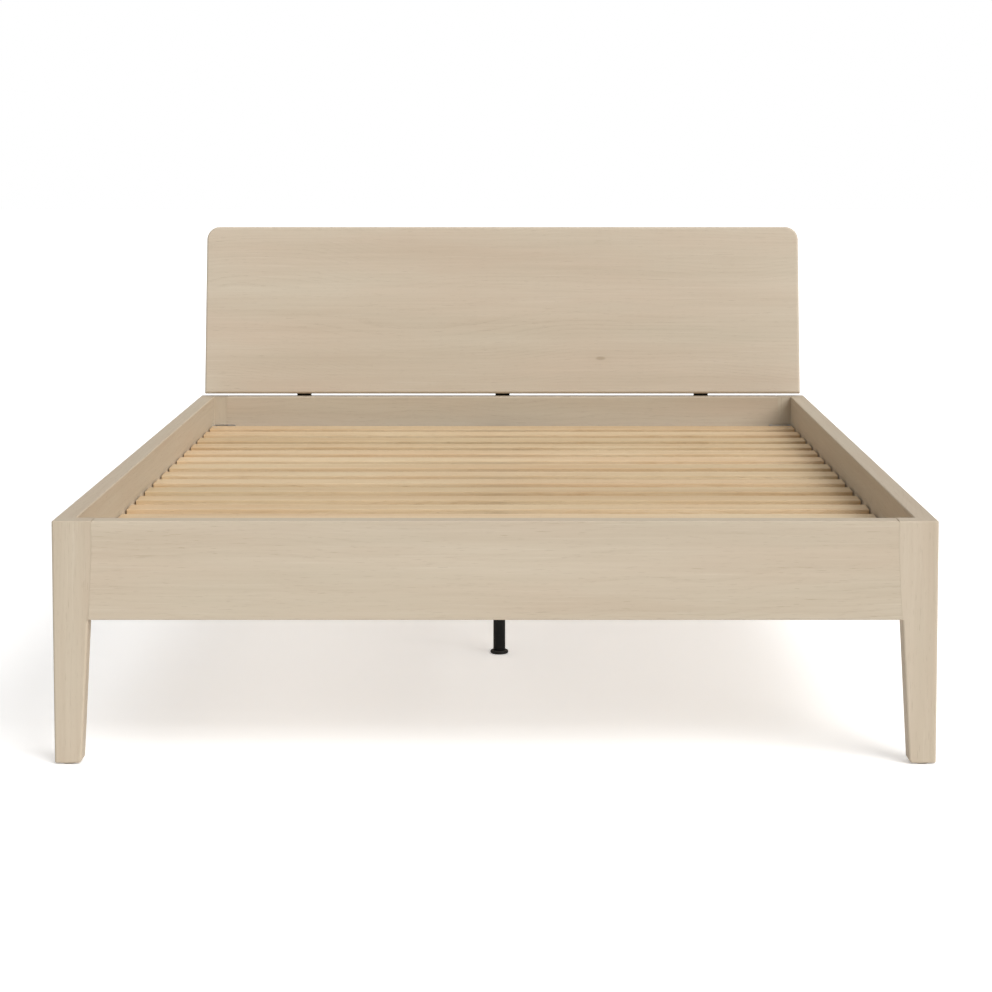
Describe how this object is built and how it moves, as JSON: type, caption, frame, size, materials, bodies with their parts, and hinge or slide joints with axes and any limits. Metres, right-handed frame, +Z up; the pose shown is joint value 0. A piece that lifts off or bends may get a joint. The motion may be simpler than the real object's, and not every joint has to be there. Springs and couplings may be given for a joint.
{
  "type": "double bed frame",
  "caption": "Low double bed frame in pale oak: tapered legs flush with the rails, a plain leaning headboard, slats on ledges and a black steel centre beam with a screw-adjusted support leg.",
  "frame": {"origin": "on the floor, under the middle of the frame's outline", "axes": "+X to the right seen from the foot end, +Y from the foot to the head end, +Z up"},
  "size_m": [1.7, 2.1936, 0.9469],
  "materials": {
    "leg_oak": "whitewashed oak, matt lacquer, upright grain",
    "rail_oak": "whitewashed oak, matt lacquer, grain along the rail",
    "headboard_oak": "whitewashed oak, matt lacquer, grain across the bed",
    "black_steel": "black powder coat, fine satin texture",
    "zinc_plate": "bright zinc plated steel plate",
    "zinc_fastener": "bright zinc plated fasteners",
    "black_nylon": "black moulded nylon",
    "glide_nylon": "beige moulded nylon",
    "ledge_pine": "planed untreated pine",
    "slat_pine": "planed untreated pine",
    "webbing": "woven polyester band, off-white",
    "beech_dowel": "fluted beech dowel"
  },
  "bodies": {
    "bed_frame": {"leg_foot_left": "leg_oak", "leg_foot_right": "leg_oak", "leg_head_left": "leg_oak", "leg_head_right": "leg_oak", "foot_rail": "rail_oak", "head_rail": "rail_oak", "left_side_rail": "rail_oak", "right_side_rail": "rail_oak", "headboard": "headboard_oak", "headboard_strap_left": "black_steel", "headboard_strap_middle": "black_steel", "headboard_strap_right": "black_steel", "centre_beam": "black_steel", "beam_hanger_foot": "black_steel", "beam_hanger_head": "black_steel", "support_plate": "black_steel", "corner_iron_foot_left": "zinc_plate", "corner_iron_foot_right": "zinc_plate", "corner_iron_head_left": "zinc_plate", "corner_iron_head_right": "zinc_plate", "support_stud": "zinc_fastener", "left_slat_ledge": "ledge_pine", "right_slat_ledge": "ledge_pine", "slat_01": "slat_pine", "slat_02": "slat_pine", "slat_03": "slat_pine", "slat_04": "slat_pine", "slat_05": "slat_pine", "slat_06": "slat_pine", "slat_07": "slat_pine", "slat_08": "slat_pine", "slat_09": "slat_pine", "slat_10": "slat_pine", "slat_11": "slat_pine", "slat_12": "slat_pine", "slat_13": "slat_pine", "slat_14": "slat_pine", "slat_15": "slat_pine", "slat_16": "slat_pine", "webbing_left": "webbing", "webbing_right": "webbing", "glide_foot_left": "glide_nylon", "glide_foot_right": "glide_nylon", "glide_head_left": "glide_nylon", "glide_head_right": "glide_nylon", "end_rail_dowels": "beech_dowel", "side_rail_dowels": "beech_dowel", "corner_inserts": "zinc_fastener", "corner_bolts": "zinc_fastener", "corner_iron_screws": "zinc_fastener", "headboard_inserts": "zinc_fastener", "headboard_bolts": "zinc_fastener", "ledge_screws": "zinc_fastener", "hanger_screws": "zinc_fastener", "support_plate_bolts": "zinc_fastener", "slat_screws": "zinc_fastener", "webbing_tacks": "zinc_fastener"},
    "support_foot": {"support_foot_pad": "black_nylon"},
    "support_leg": {"support_tube": "black_steel", "tube_thread_plug": "black_nylon"}
  },
  "joints": [
    {"name": "support_foot_raise", "type": "slide", "parent": "bed_frame", "child": "support_foot", "axis": [0, 0, 1], "range_m": [0, 0.0407]},
    {"name": "support_tube_turn", "type": "hinge", "parent": "support_foot", "child": "support_leg", "pos_m": [0, -0.14175, 0.15], "axis": [0, 0, 1], "range_deg": [0, 9720]}
  ],
  "couplings": [
    {"joint": "support_foot_raise", "follows": "support_tube_turn", "m_per_rad": 0.0002387}
  ]
}
